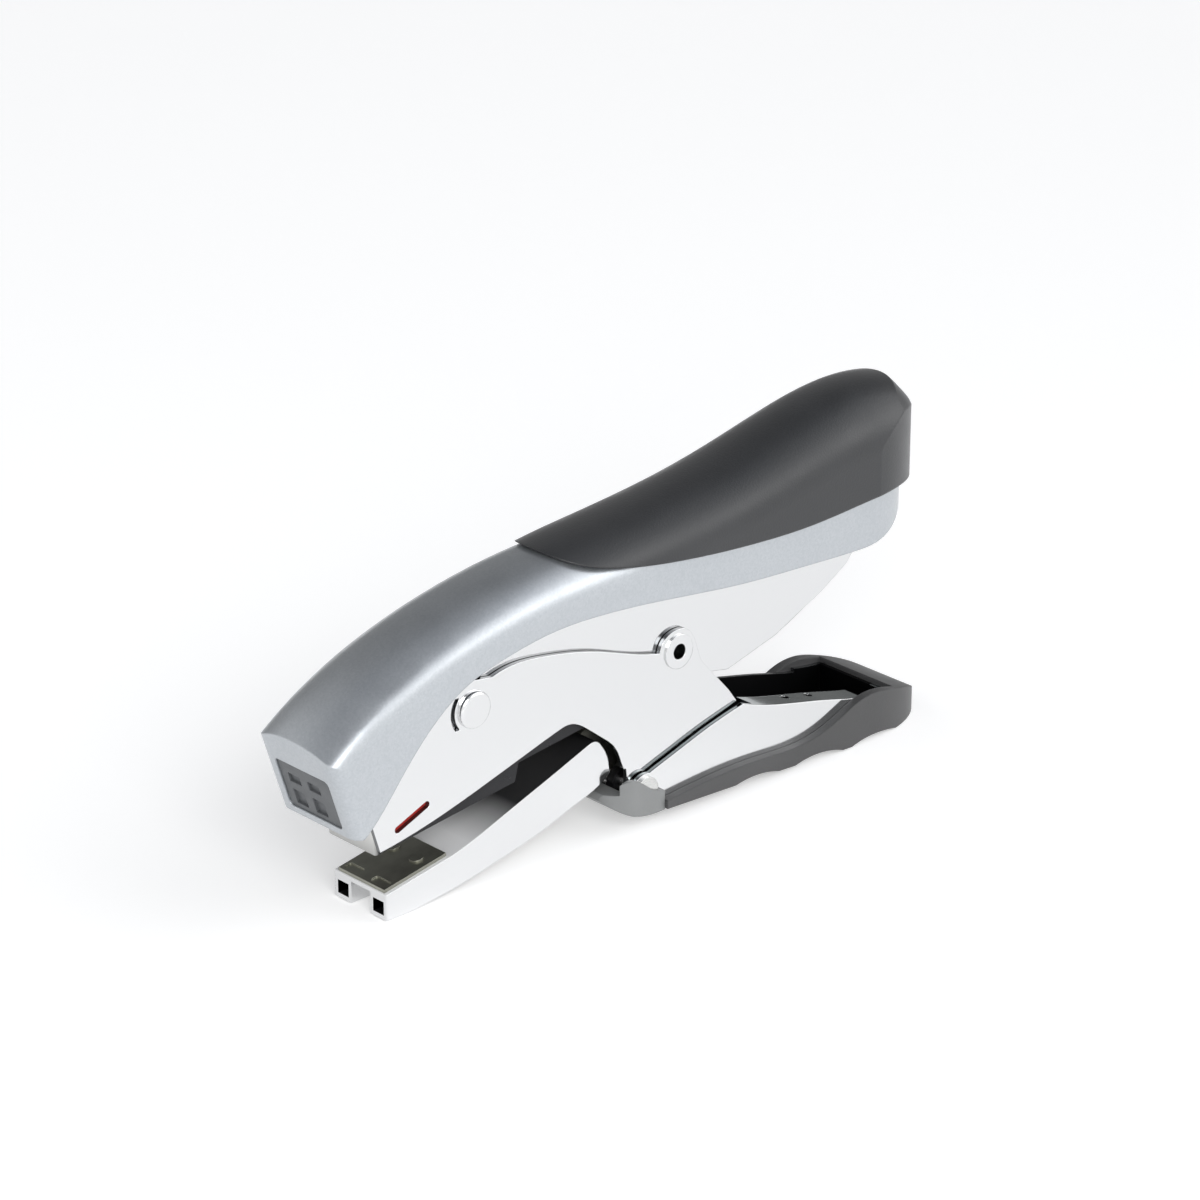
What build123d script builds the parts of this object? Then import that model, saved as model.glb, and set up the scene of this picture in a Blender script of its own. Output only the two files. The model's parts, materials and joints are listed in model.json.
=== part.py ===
from build123d import *
from math import cos, radians, sin
import os

# Plier stapler: a hand-held stapler squeezed like pliers, shown open as it stands on a table.
# X runs from the nose (-) to the tail (+), Y across (near side -), Z up; the table is Z = 0.
# Every node is one piece or one set of like fasteners, in the same frame.

os.makedirs("parts", exist_ok=True)

# ------------------------------------------------------------------ driving dimensions, mm
COVER_HALF = 12.0
COVER_WALL = 1.0
TOP_GRIP_HALF = 13.2
CHEEK_IN = 8.6
CHEEK_OUT = 9.6
CHANNEL_IN = 7.7
CHANNEL_OUT = 8.5
MAG_IN = 6.6
MAG_OUT = 7.4
JAW_HALF = 8.0
ARM_HALF = 2.8
EAR_IN = 3.2
EAR_OUT = 5.2
HANDLE_IN = 10.1
HANDLE_OUT = 11.0
LOW_GRIP_HALF = 13.0
SHEET = 0.9

# every piece moves this far along X when it is written: the origin lies in the middle of the length
ORIGIN_SHIFT = 2.15

# pivots in the X-Z plane
HANDLE_PIVOT = (-3.5, 8.0)
JAW_PIVOT = (1.5, 26.0)
DRIVE_PIVOT = (7.0, 36.0)
FRONT_RIVET = (-49.0, 40.0)
ROLLER = (0.0, 12.55)
SPRING_PIN = (12.0, 24.0)

PIN_R = 2.0
HANDLE_PIN_R = 2.2
HANDLE_HEAD_R = 3.2
REAR_RIVET_R = 3.0
STUD_R = 1.5
ROLLER_PIN_R = 0.8
ARM_RIVET_R = 1.2
ANVIL_RIVET_R = 1.1
RUN = 0.05  # radial running clearance
FIT = 0.02  # radial clearance of a pin in its own body
REACH = 20.0  # half length of a cut that passes through the whole width

# magazine: its floor climbs 7 degrees towards the tail; s runs along it, n away from the floor
MAG_TILT = 7.0
MAG_FRONT = (-73.0, 14.8)
MAG_X = (cos(radians(MAG_TILT)), 0, sin(radians(MAG_TILT)))
MAG_SIDE = Plane(origin=(MAG_FRONT[0], 0, MAG_FRONT[1]), x_dir=MAG_X, z_dir=(0, -1, 0))
MAG_FLOOR = 0.8
MAG_HEIGHT = 10.0
MAG_LENGTH = 58.0
ROD_HEIGHT = 8.15
ROD_R = 0.75

# sloping front of the nose, and its own sketch plane (x across, y up the slope)
NOSE_TOP = (-87.3, 41.0)
NOSE_LOW = (-81.2, 22.0)
NOSE_RISE = (NOSE_TOP[0] - NOSE_LOW[0], 0, NOSE_TOP[1] - NOSE_LOW[1])
FRONT = Plane(
    origin=((NOSE_TOP[0] + NOSE_LOW[0]) / 2, 0, (NOSE_TOP[1] + NOSE_LOW[1]) / 2),
    x_dir=(0, -1, 0),
    z_dir=(NOSE_LOW[1] - NOSE_TOP[1], 0, NOSE_TOP[0] - NOSE_LOW[0]),
)

# floor of the lower handle: it falls gently towards the tail
FLOOR_Z = 4.06
FLOOR_SLOPE = 0.0366
FLOOR = Plane(origin=(0, 0, FLOOR_Z), x_dir=(1, 0, -FLOOR_SLOPE), z_dir=(FLOOR_SLOPE, 0, 1))


# ------------------------------------------------------------------ helpers
# Each of these works on the part that is being built where it is called.
def mag_point(s, n):
    """Magazine coordinates to the part frame, as (x, z)."""
    return MAG_FRONT[0] + s * MAG_X[0] - n * MAG_X[2], MAG_FRONT[1] + s * MAG_X[2] + n * MAG_X[0]


def floor_under(x):
    """Height of the underside of the lower handle's floor."""
    return FLOOR_Z - FLOOR_SLOPE * x


def floor_top(x):
    return floor_under(x) + SHEET


def side_plane(y):
    """A side-view sketch plane at width y (sketch x is X, sketch y is Z)."""
    return Plane.XZ.offset(-y)


def pins(centres, radius, y_from, y_to, mode=Mode.ADD):
    """Round pins or holes along Y at (x, z) places."""
    with BuildSketch(side_plane(y_from)) as rounds:
        with Locations(*centres):
            Circle(radius)
    extrude(rounds.sketch, amount=y_from - y_to, dir=(0, -1, 0), mode=mode)


def both_sides(centres, radius, y_near, y_far, mode=Mode.ADD):
    """The same round pins or holes on the near and the far side."""
    for side in (-1, 1):
        pins(centres, radius, side * y_near, side * y_far, mode)


def prism(points, half, mode=Mode.ADD, plane=Plane.XZ):
    """A side-view outline carried the same distance to both sides of the middle."""
    with BuildSketch(plane) as outline:
        with BuildLine():
            Polyline(*points, close=True)
        make_face()
    extrude(outline.sketch, amount=half, both=True, mode=mode)


def mag_prism(points, half, mode=Mode.ADD):
    """The same with the outline in magazine coordinates."""
    prism(points, half, mode, MAG_SIDE)


def along_magazine(s_from, s_to, n, radius, mode=Mode.ADD):
    """A round bar or hole lying along the magazine."""
    x, z = mag_point(s_from, n)
    with BuildSketch(Plane(origin=(x, 0, z), x_dir=(0, 1, 0), z_dir=MAG_X)) as section:
        Circle(radius)
    extrude(section.sketch, amount=s_to - s_from, dir=MAG_X, mode=mode)


def tail_plan(half, x_start, x_end):
    """Keep only what lies inside a plan outline with an elliptical tail."""
    with BuildSketch(Plane.XY.offset(-1)) as plan:
        with Locations(((x_start - 120) / 2, 0)):
            Rectangle(x_start + 120, 2 * half)
        with Locations((x_start, 0)):
            Ellipse(x_end - x_start, half)
    extrude(plan.sketch, amount=110, dir=(0, 0, 1), mode=Mode.INTERSECT)


def below(edge):
    """Cut away everything under a side-view curve."""
    with BuildSketch(Plane.XZ) as under:
        with BuildLine():
            curve = Spline(*edge)
            Polyline(curve @ 1, (120, edge[-1][1]), (120, -10), (-120, -10), (-120, edge[0][1]), curve @ 0)
        make_face()
    extrude(under.sketch, amount=30, both=True, mode=Mode.SUBTRACT)


def front_block(width, low, high, depth_from, depth_to, mode=Mode.ADD):
    """A block square to the sloped nose; depths count inwards from its outer face."""
    with BuildSketch(FRONT.offset(-depth_from)) as face:
        with Locations((0, (low + high) / 2)):
            RectangleRounded(width, high - low, 1.2)
    extrude(face.sketch, amount=depth_from - depth_to, dir=FRONT.z_dir, mode=mode)


def coil(radius, wire, turns, height):
    """Helical spring standing on the origin."""
    path = Helix(pitch=height / turns, height=height, radius=radius)
    with BuildPart() as spring:
        with BuildSketch(Plane(origin=path @ 0, z_dir=path % 0)):
            Circle(wire / 2)
        sweep(path=path, is_frenet=True)
    return spring.part


# ------------------------------------------------------------------ shape of the upper handle
# crown: x, height of the crown, height the roof falls towards the sides
CROWN = [(-92.0, 37.5, 6.0), (-82.0, 46.0, 7.0), (-66.0, 54.7, 8.0), (-48.0, 60.4, 8.5)]
CROWN += [(-27.0, 64.6, 9.0), (-5.0, 67.1, 9.8), (18.0, 69.9, 10.8), (40.0, 74.6, 11.8)]
CROWN += [(60.0, 78.7, 12.6), (74.0, 78.4, 12.8), (90.0, 71.5, 12.0)]
GRIP_START = -27.0
GRIP_SINK = 1.8
GRIP_HALVES = [12.0, 12.0, 12.0, 12.1, 12.6, 13.0] + 5 * [TOP_GRIP_HALF]
TAIL_START = 60.0
TAIL_END = 81.0
COVER_TAIL = 78.5
# rounding of the tail: share of the half width, height of the crest there
DOME = [(0.0, 80.4), (0.5, 79.2), (0.8, 75.0), (1.0, 66.0)]
DOME_LENGTH = 15.0

COVER_EDGE = [(-79.6, 22.0), (-75.0, 26.2), (-70.4, 31.6), (-65.6, 37.0), (-59.8, 42.3)]
COVER_EDGE += [(-52.5, 46.8), (-43.0, 49.6), (-30.0, 51.6), (-16.0, 51.5), (-3.0, 50.3)]
COVER_EDGE += [(9.0, 48.8), (24.0, 47.1), (40.0, 46.1), (56.0, 45.3), (67.0, 45.9), (73.5, 48.4)]
COVER_EDGE += [(80.0, 54.0)]
GRIP_EDGE = [(-27.5, 66.5), (-21.0, 62.9), (-14.0, 60.9), (-3.0, 58.9), (12.0, 57.0)]
GRIP_EDGE += [(27.0, 55.8), (42.0, 55.4), (57.0, 56.2), (70.0, 56.6), (80.0, 55.6), (90.0, 53.0)]
COVER_PINS = [(30.0, 61.0), (58.0, 62.5)]


def arch(stations):
    """Long body with a rounded roof; each station is x, crown height, half width, roof fall."""
    with BuildPart() as body:
        for x, top, half, fall in stations:
            with BuildSketch(Plane.YZ.offset(x)):
                with BuildLine():
                    roof = Spline(
                        (-half, top - fall), (-0.72 * half, top - 0.29 * fall), (0, top),
                        tangents=[(0, 1), (1, 0)],
                    )
                    Polyline(roof @ 0, (-half, 5), (0, 5))
                    mirror(about=Plane.YZ)
                make_face()
        loft()
    return body.part


def side_limits(shrink, tail):
    """Keep what lies inside the side view: a tail that is rounded on top and upright behind."""
    with BuildSketch(side_plane(30)) as limits:
        with BuildLine():
            roof = Polyline((-120, 15), (-120, 95), (tail - 12.0, 95), (tail - 12.0, 80.5 - shrink))
            rear = Spline(
                roof @ 1, (tail - 6.0 - shrink, 78.9 - shrink), (tail - 1.8 - shrink, 74.6 - shrink),
                (tail - 0.2 - shrink, 67.5), (tail - shrink, 60.0), (tail - 0.8 - shrink, 52.0),
                (tail - 3.0 - shrink, 45.0),
            )
            Polyline(rear @ 1, (tail - 9.0, 15), roof @ 0)
        make_face()
    extrude(limits.sketch, amount=60, dir=(0, -1, 0), mode=Mode.INTERSECT)


def tail_dome(half, tail, drop):
    """Keep what lies inside a tail end that is rounded in every direction."""
    start = tail - DOME_LENGTH
    with BuildPart() as dome:
        with BuildSketch(Plane.XZ):
            with BuildLine():
                crest = Spline(*[(part * half, top - drop) for part, top in DOME], tangents=[(1, 0), (0, -1)])
                Polyline(crest @ 1, (half, 5), (0, 5), crest @ 0)
            make_face()
        revolve(axis=Axis.Z)
    with BuildPart() as room:
        add(Location((start, 0, 0)) * scale(dome.part, by=(DOME_LENGTH / half, 1, 1)))
        with Locations((start - 100, 0, 50)):
            Box(200, 4 * half, 100)
    add(room.part, mode=Mode.INTERSECT)


def nose_limits(shrink, corner):
    """Keep what lies behind the sloped front, whose upright corners are rounded."""
    start = NOSE_LOW[0] - NOSE_LOW[1] * NOSE_RISE[0] / NOSE_RISE[2] + shrink * 1.05
    with BuildSketch(Plane.XY) as plan:
        with Locations((start + 120, 0)):
            RectangleRounded(240, 2 * (COVER_HALF - shrink), corner)
    extrude(plan.sketch, amount=110, dir=NOSE_RISE, mode=Mode.INTERSECT)


def cover_envelope(shrink):
    """The cover's outside, or its inside when shrunk by the wall; it sits lower under the grip."""
    stations = []
    for x, top, fall in CROWN:
        sink = 0.0 if x < GRIP_START else GRIP_SINK
        if x == GRIP_START:
            sink = GRIP_SINK / 3
        stations.append((x, top - sink - shrink, COVER_HALF - shrink, fall - 0.5))
    with BuildPart() as envelope:
        add(arch(stations))
        side_limits(shrink, COVER_TAIL)
        tail_plan(COVER_HALF - shrink, TAIL_START - 2.0, COVER_TAIL - shrink)
        tail_dome(COVER_HALF - shrink, COVER_TAIL - shrink, GRIP_SINK + shrink)
        nose_limits(shrink, 2.6 - shrink)
    return envelope.part


# ------------------------------------------------------------------ upper handle
with BuildPart() as top_cover:
    add(cover_envelope(0))
    add(cover_envelope(COVER_WALL), mode=Mode.SUBTRACT)
    below(COVER_EDGE)
    front_block(16.4, -8.4, 3.6, -2.0, 4.0, Mode.SUBTRACT)
    both_sides(COVER_PINS, STUD_R + FIT, 10.0, 13.0, Mode.SUBTRACT)

with BuildPart() as top_grip:
    add(arch([(x, top, half, fall) for (x, top, fall), half in zip(CROWN, GRIP_HALVES)]))
    side_limits(0, TAIL_END)
    tail_plan(TOP_GRIP_HALF + 0.1, TAIL_START, TAIL_END)
    tail_dome(TOP_GRIP_HALF + 0.1, TAIL_END, 0)
    add(cover_envelope(0), mode=Mode.SUBTRACT)
    below(GRIP_EDGE)

CHANNEL_TOP = [(-77.0, 43.3), (-62.0, 50.3), (-45.0, 55.2), (-25.0, 57.6), (0.0, 60.4)]
CHANNEL_TOP += [(20.0, 62.6), (40.0, 66.4), (58.0, 69.4), (68.0, 69.0)]
CHANNEL_FOOT = [(68.0, 49.5), (62.0, 46.5), (57.5, 41.2), (50.0, 36.8), (36.4, 30.7), (22.4, 27.0)]
CHANNEL_FOOT += [(14.0, 28.6), (7.0, 30.8), (0.0, 32.8), (-8.0, 36.0), (-45.0, 34.5), (-62.0, 32.0)]
CHANNEL_FOOT += [(-77.0, 34.0)]
WEB_FRONT = -72.9

# steel channel inside the cover, open below; its slot lets the front rivet travel
with BuildPart() as handle_channel:
    with BuildSketch(Plane.XZ):
        with BuildLine():
            web = Spline(*CHANNEL_TOP)
            Polyline(web @ 1, *CHANNEL_FOOT, web @ 0)
        make_face()
    extrude(amount=CHANNEL_OUT, both=True)
    with BuildSketch(Plane.XZ):
        with BuildLine():
            ceiling = Spline(*[(x, z - 0.8) for x, z in CHANNEL_TOP])
            Polyline(ceiling @ 1, (90, 68.2), (90, 10), (-90, 10), (-90, 42.5), ceiling @ 0)
        make_face()
    extrude(amount=CHANNEL_IN, both=True, mode=Mode.SUBTRACT)
    prism([(-90, 10), (WEB_FRONT, 10), (WEB_FRONT, 60), (-90, 60)], CHANNEL_IN, Mode.SUBTRACT)
    pins([DRIVE_PIVOT], REAR_RIVET_R + RUN, -REACH, REACH, Mode.SUBTRACT)
    both_sides(COVER_PINS, STUD_R + FIT, 7.0, 9.0, Mode.SUBTRACT)
    with BuildSketch(Plane.XZ):
        with Locations((FRONT_RIVET[0] + 0.3, FRONT_RIVET[1] + 2.6)):
            SlotCenterToCenter(5.4, 4.8, rotation=84)
    extrude(amount=REACH, both=True, mode=Mode.SUBTRACT)

with BuildPart() as cover_pins:
    both_sides(COVER_PINS, STUD_R, CHANNEL_IN, COVER_HALF - 0.8)

# dark insert of the nose: it shows through the cover's window, with four shallow pockets
with BuildPart() as nose_plate:
    front_block(18.4, -9.2, 4.6, COVER_WALL + FIT, COVER_WALL + 0.8)
    front_block(16.2, -8.3, 3.5, 0.4, COVER_WALL + 0.8)
    with BuildSketch(FRONT.offset(-0.4)):
        for height, tall in [(-5.4, 3.6), (-0.6, 2.2)]:
            with Locations((-4.0, height), (2.0, height)):
                Rectangle(3.6, tall)
    extrude(amount=-0.6, mode=Mode.SUBTRACT)

# hook that pulls the driver blade down; its post ends where it meets the channel's web
with BuildPart() as tongue_blank:
    mag_prism([(-1.2, 24), (9.0, 24), (9.0, 36), (5.2, 36), (5.2, 27), (-1.2, 27)], 3.0)
    add(handle_channel.part, mode=Mode.SUBTRACT)
driver_tongue = tongue_blank.part.solids().sort_by(Axis.Z)[0]

# ------------------------------------------------------------------ driver blade
BLADE_MID = (1.28, 19.3)
with BuildPart() as driver_blade:
    with BuildSketch(MAG_SIDE):
        with Locations(BLADE_MID):
            Rectangle(0.65, 23.4)
    extrude(amount=6.3, both=True)
    with BuildSketch(MAG_SIDE):
        with Locations((BLADE_MID[0], 25.6)):
            Rectangle(3.0, 4.6)
    extrude(amount=3.5, both=True, mode=Mode.SUBTRACT)

# ------------------------------------------------------------------ frame: side plates
MAG_STUDS = [(-55.5, 22.6), (-40.0, 27.0)]
FLAG_WINDOW = (-65.3, 21.6)
FLAG_TILT = 22.0
CHEEK_LOBE_R = 4.0


def cheek(y_from):
    """Side plate: long beak along the magazine, notch for the jaw, lobe for the handle pin."""
    with BuildPart() as plate:
        with BuildSketch(side_plane(y_from)):
            with BuildLine():
                foot = Spline((-73.6, 16.6), (-60.5, 18.9), (-42.8, 23.6), (-25.5, 28.5))
                notch = Spline(
                    foot @ 1, (-22.6, 28.6), (-18.6, 26.4), (-13.8, 22.6), (-9.9, 18.2), (-8.2, 14.0),
                    (-7.5, 9.6), tangents=[foot % 1, (0, -1)],
                )
                rear = Polyline(
                    notch @ 1, (-6.5, 6.0), (-1.0, 6.0), (0.8, 9.5), (1.2, 12.9), (24.0, 19.7),
                    (21.6, 23.0), (13.4, 32.2),
                )
                lobe = Spline(rear @ 1, (12.2, 36.0), (9.6, 40.2), (4.4, 40.4), (1.7, 37.0))
                arc = Spline(
                    lobe @ 1, (-4.4, 38.6), (-15.5, 42.5), (-30.5, 45.8), (-38.5, 46.4), (-44.0, 45.4)
                )
                Polyline(
                    arc @ 1, (-52.0, 46.6), (-60.0, 41.8), (-68.0, 35.6), (-75.0, 31.0), (-77.0, 27.5),
                    foot @ 0,
                )
            make_face()
        extrude(amount=CHEEK_OUT - CHEEK_IN)
        pins([HANDLE_PIVOT], CHEEK_LOBE_R, y_from, y_from - 1.0)
        pins([HANDLE_PIVOT], HANDLE_PIN_R + RUN, -REACH, REACH, Mode.SUBTRACT)
        pins([DRIVE_PIVOT], REAR_RIVET_R + FIT, -REACH, REACH, Mode.SUBTRACT)
        pins([FRONT_RIVET], PIN_R + FIT, -REACH, REACH, Mode.SUBTRACT)
        pins([JAW_PIVOT], PIN_R + FIT, -CHEEK_IN - 0.5, CHEEK_IN + 0.5, Mode.SUBTRACT)
        pins([SPRING_PIN], STUD_R + FIT, -CHEEK_IN - 0.5, CHEEK_IN + 0.5, Mode.SUBTRACT)
        with BuildSketch(Plane.XZ):
            with Locations(FLAG_WINDOW):
                SlotOverall(9.6, 1.5, rotation=FLAG_TILT)
        extrude(amount=REACH, both=True, mode=Mode.SUBTRACT)
        with BuildSketch(Plane.XZ):
            with Locations(FRONT_RIVET):
                Circle(5.9)
                Circle(4.9, mode=Mode.SUBTRACT)
            with Locations((FRONT_RIVET[0] - 6.6, FRONT_RIVET[1])):
                Rectangle(5.6, 7.0, mode=Mode.INTERSECT)
        extrude(amount=REACH, both=True, mode=Mode.SUBTRACT)
    return plate.part


cheek_near = cheek(-CHEEK_IN)
cheek_far = cheek(CHEEK_OUT)

# red strip behind the side plates' windows: it shows that staples are loaded
with BuildPart() as level_flag:
    with BuildSketch(side_plane(-MAG_OUT)):
        with Locations(FLAG_WINDOW):
            SlotOverall(12.0, 3.4, rotation=FLAG_TILT)
    extrude(amount=1.1)
    with BuildSketch(side_plane(MAG_OUT)):
        with Locations(FLAG_WINDOW):
            SlotOverall(12.0, 3.4, rotation=FLAG_TILT)
    extrude(amount=-1.1)

# ------------------------------------------------------------------ frame: magazine
# staple channel, open on top; its floor stops short so that the closing jaw has room
SLIT = (0.8, 1.75)  # gap behind the nose wall for the blade, along s
with BuildPart() as magazine:
    mag_prism([(0, 0), (37, 0), (38.5, 3.8), (58, 3.8), (58, 10), (2.0, 10), (2.0, 14), (0, 14)], MAG_OUT)
    mag_prism([(SLIT[1], MAG_FLOOR), (60, MAG_FLOOR), (60, 20), (SLIT[1], 20)], MAG_IN, Mode.SUBTRACT)
    mag_prism([(SLIT[0], -5), (SLIT[1], -5), (SLIT[1], 20), (SLIT[0], 20)], MAG_IN, Mode.SUBTRACT)
    upright = [e for e in magazine.edges() if abs(e.center().X - mag_point(0, 7)[0]) < 0.6 and e.length > 12]
    fillet([e for e in upright if abs(abs(e.center().Y) - MAG_OUT) < 0.01], 0.7)
    mag_prism([(57.2, 3.8), (58, 3.8), (58, 10), (57.2, 10)], MAG_IN)
    along_magazine(50, 60, ROD_HEIGHT, ROD_R + FIT, Mode.SUBTRACT)

with BuildPart() as magazine_studs:
    both_sides(MAG_STUDS, 1.6, MAG_OUT, CHEEK_IN)

with BuildPart() as staple_strip:
    mag_prism([(2.0, 0.85), (30.0, 0.85), (30.0, 7.2), (2.0, 7.2)], 6.4)
    mag_prism([(0, 0), (40, 0), (40, 6.7), (0, 6.7)], 5.9, Mode.SUBTRACT)

# inner rail that the staples straddle
with BuildPart() as staple_rail:
    mag_prism(
        [(2.0, MAG_FLOOR), (36.8, MAG_FLOOR), (38.5, 4.2), (57.2, 4.2), (57.2, 6.55), (2.0, 6.55)], 5.75
    )
    mag_prism([(-5, -5), (70, -5), (70, 5.75), (-5, 5.75)], 4.95, Mode.SUBTRACT)

# saddle that rides the inner rail and slides on the guide rod
with BuildPart() as pusher:
    mag_prism([(30.2, 1.2), (34.0, 4.5), (38.2, 4.5), (38.2, 9.8), (30.2, 9.8)], 6.4)
    mag_prism([(20, -5), (50, -5), (50, 6.75), (20, 6.75)], 5.95, Mode.SUBTRACT)
    along_magazine(20, 50, ROD_HEIGHT, ROD_R + RUN, Mode.SUBTRACT)

with BuildPart() as guide_rod:
    along_magazine(4.0, MAG_LENGTH, ROD_HEIGHT, ROD_R)
    along_magazine(MAG_LENGTH, MAG_LENGTH + 1.0, ROD_HEIGHT, 1.4)

spring_x, spring_z = mag_point(38.6, ROD_HEIGHT)
spring_place = Plane(origin=(spring_x, 0, spring_z), x_dir=(0, 1, 0), z_dir=MAG_X).location
pusher_spring = spring_place * coil(1.4, 0.4, 12, 18.2)

# bridge across the magazine that carries the drive spring
SEAT = (-29.2, 32.6)
with BuildPart() as spring_seat:
    with BuildSketch(Plane.XY.offset(SEAT[1])):
        with Locations((SEAT[0], 0)):
            Circle(4.4)
    extrude(amount=-2.0)
    mag_prism([(30, 0), (60, 0), (60, 11.8), (30, 11.8)], REACH, Mode.SUBTRACT)
    mag_prism([(40.8, MAG_HEIGHT), (51.0, MAG_HEIGHT), (51.0, 10.8), (40.8, 10.8)], MAG_OUT)
    mag_prism([(40.8, 10.8), (51.0, 10.8), (51.0, 11.8), (40.8, 11.8)], 5.0)

drive_spring = Location((SEAT[0], 0, SEAT[1] + 0.55)) * coil(3.2, 0.9, 8, 23.0)

# ------------------------------------------------------------------ frame: rivets and pins
with BuildPart() as front_rivet:
    pins([FRONT_RIVET], PIN_R, CHEEK_OUT, -CHEEK_OUT)
    both_sides([FRONT_RIVET], 4.0, CHEEK_OUT, CHEEK_OUT + 1.15)
    fillet(front_rivet.faces().sort_by(Axis.Y)[0].edges(), 0.9)
    fillet(front_rivet.faces().sort_by(Axis.Y)[-1].edges(), 0.9)

# tubular rivet that the upper handle turns on
with BuildPart() as rear_rivet:
    pins([DRIVE_PIVOT], REAR_RIVET_R, CHEEK_OUT + 0.4, -CHEEK_OUT - 0.4)
    both_sides([DRIVE_PIVOT], 3.8, CHEEK_OUT, CHEEK_OUT + 0.4)
    pins([DRIVE_PIVOT], 1.7, -REACH, REACH, Mode.SUBTRACT)

with BuildPart() as jaw_pin:
    pins([JAW_PIVOT], PIN_R, CHEEK_IN + 0.45, -CHEEK_IN - 0.45)

with BuildPart() as spring_pin:
    pins([SPRING_PIN], STUD_R, CHEEK_IN + 0.45, -CHEEK_IN - 0.45)

# ------------------------------------------------------------------ jaw
JAW_TOP = [(-71.0, 5.75), (-54.8, 8.6), (-46.5, 10.9), (-37.8, 14.0), (-27.5, 17.6), (-17.0, 21.4)]
JAW_END = [(-17.0, 21.4), (-14.4, 21.6), (-12.6, 19.6), (-11.2, 16.4), (-10.8, 13.9), (-12.2, 12.4)]
JAW_FOOT = [(-12.2, 12.4), (-20.6, 9.2), (-28.5, 6.6), (-40.0, 3.9), (-53.0, 1.4), (-62.0, 0.3), (-66.0, 0.0)]
JAW_SHEET = 0.95
JAW_ROOF = [(x, z - JAW_SHEET) for x, z in JAW_TOP]

# folded jaw: a web on top, a closed tube along each lower edge, open between them
with BuildPart() as lower_jaw:
    with BuildSketch(Plane.XZ):
        with BuildLine():
            front = Line(JAW_TOP[0], JAW_TOP[1])
            top = Spline(*JAW_TOP[1:], tangents=[front % 1, (1, 0.36)])
            end = Spline(*JAW_END, tangents=[top % 1, (-1, -0.7)])
            foot = Spline(*JAW_FOOT, tangents=[end % 1, (-1, 0)])
            Polyline(foot @ 1, (JAW_TOP[0][0], 0), JAW_TOP[0])
        make_face()
    extrude(amount=JAW_HALF, both=True)
    tube_top = [(-80, 3.7), (-60, 4.1)] + JAW_ROOF[2:5]
    tube_foot = [(x, z + JAW_SHEET) for x, z in JAW_FOOT[1:]]
    with BuildSketch(side_plane(3.8)) as tube:
        with BuildLine():
            Polyline(*tube_top, (-19.0, 19.7), (-19.0, 10.8), *tube_foot, (-80, JAW_SHEET), close=True)
        make_face()
    extrude(tube.sketch, amount=3.3, dir=(0, 1, 0), mode=Mode.SUBTRACT)
    extrude(tube.sketch.moved(Location((0, -7.6, 0))), amount=3.3, dir=(0, -1, 0), mode=Mode.SUBTRACT)
    prism(
        [(-80, JAW_ROOF[0][1] - 1.4)] + JAW_ROOF[:5] + [(-19.0, 19.7), (-5.0, 24.8), (-5.0, -5), (-80, -5)],
        3.0, Mode.SUBTRACT,
    )

# hardened plate with the two pockets that curl the staple legs
ANVIL_SLOPE = (JAW_TOP[1][1] - JAW_TOP[0][1]) / (JAW_TOP[1][0] - JAW_TOP[0][0])
ANVIL_THICK = 0.7
ANVIL_X = JAW_TOP[0][0] + 0.25
ANVIL_Z = JAW_TOP[0][1] + 0.25 * ANVIL_SLOPE
ANVIL_LENGTH = 16.2
ANVIL_FACE = Plane(
    origin=(ANVIL_X, 0, ANVIL_Z + ANVIL_THICK), x_dir=(1, 0, ANVIL_SLOPE), z_dir=(-ANVIL_SLOPE, 0, 1)
)
ANVIL_RIVETS = [(11.5, 3.6), (11.5, -3.6)]
with BuildPart() as anvil_plate:
    anvil_end = (ANVIL_X + ANVIL_LENGTH, ANVIL_Z + ANVIL_LENGTH * ANVIL_SLOPE)
    anvil_top = [(anvil_end[0], anvil_end[1] + ANVIL_THICK), (ANVIL_X, ANVIL_Z + ANVIL_THICK)]
    prism([(ANVIL_X, ANVIL_Z), anvil_end] + anvil_top, 7.1)
    with BuildSketch(ANVIL_FACE.offset(1.0)):
        with Locations((1.7, 4.1), (1.7, -4.1)):
            RectangleRounded(2.0, 4.6, 0.6)
    extrude(amount=-1.35, mode=Mode.SUBTRACT)
    with BuildSketch(ANVIL_FACE.offset(2.0)):
        with Locations(*ANVIL_RIVETS):
            Circle(ANVIL_RIVET_R + FIT)
    extrude(amount=-6, mode=Mode.SUBTRACT)

with BuildPart() as anvil_rivets:
    with BuildSketch(ANVIL_FACE):
        with Locations(*ANVIL_RIVETS):
            Circle(ANVIL_RIVET_R)
    extrude(amount=-0.65)
    with BuildSketch(ANVIL_FACE):
        with Locations(*ANVIL_RIVETS):
            Circle(1.5)
    extrude(amount=0.35)

# steel arm inside the jaw: it carries the jaw's pivot and the heel that the cam roller pushes
ARM_RIVETS = [(-38.0, 9.0), (-25.0, 13.2)]
ARM_OUTLINE = [(-46.0, 5.0), (-46.0, 9.5)] + [(x, z - 1.2) for x, z in JAW_TOP[3:5]]
ARM_OUTLINE += [(-19.0, 19.3), (-14.0, 21.4), (-3.0, 29.4), (1.5, 30.0), (5.5, 26.0), (-0.09, 21.0)]
ARM_OUTLINE += [(-2.9, 10.9), (-6.4, 10.9), (-7.2, 15.6), (-14.0, 13.6), (-25.0, 9.6)]
with BuildPart() as jaw_arm:
    prism(ARM_OUTLINE, ARM_HALF)
    pins([JAW_PIVOT], 5.0, ARM_HALF, -ARM_HALF)
    pins([JAW_PIVOT], PIN_R + RUN, REACH, -REACH, Mode.SUBTRACT)
    pins(ARM_RIVETS, ARM_RIVET_R + FIT, REACH, -REACH, Mode.SUBTRACT)

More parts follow.
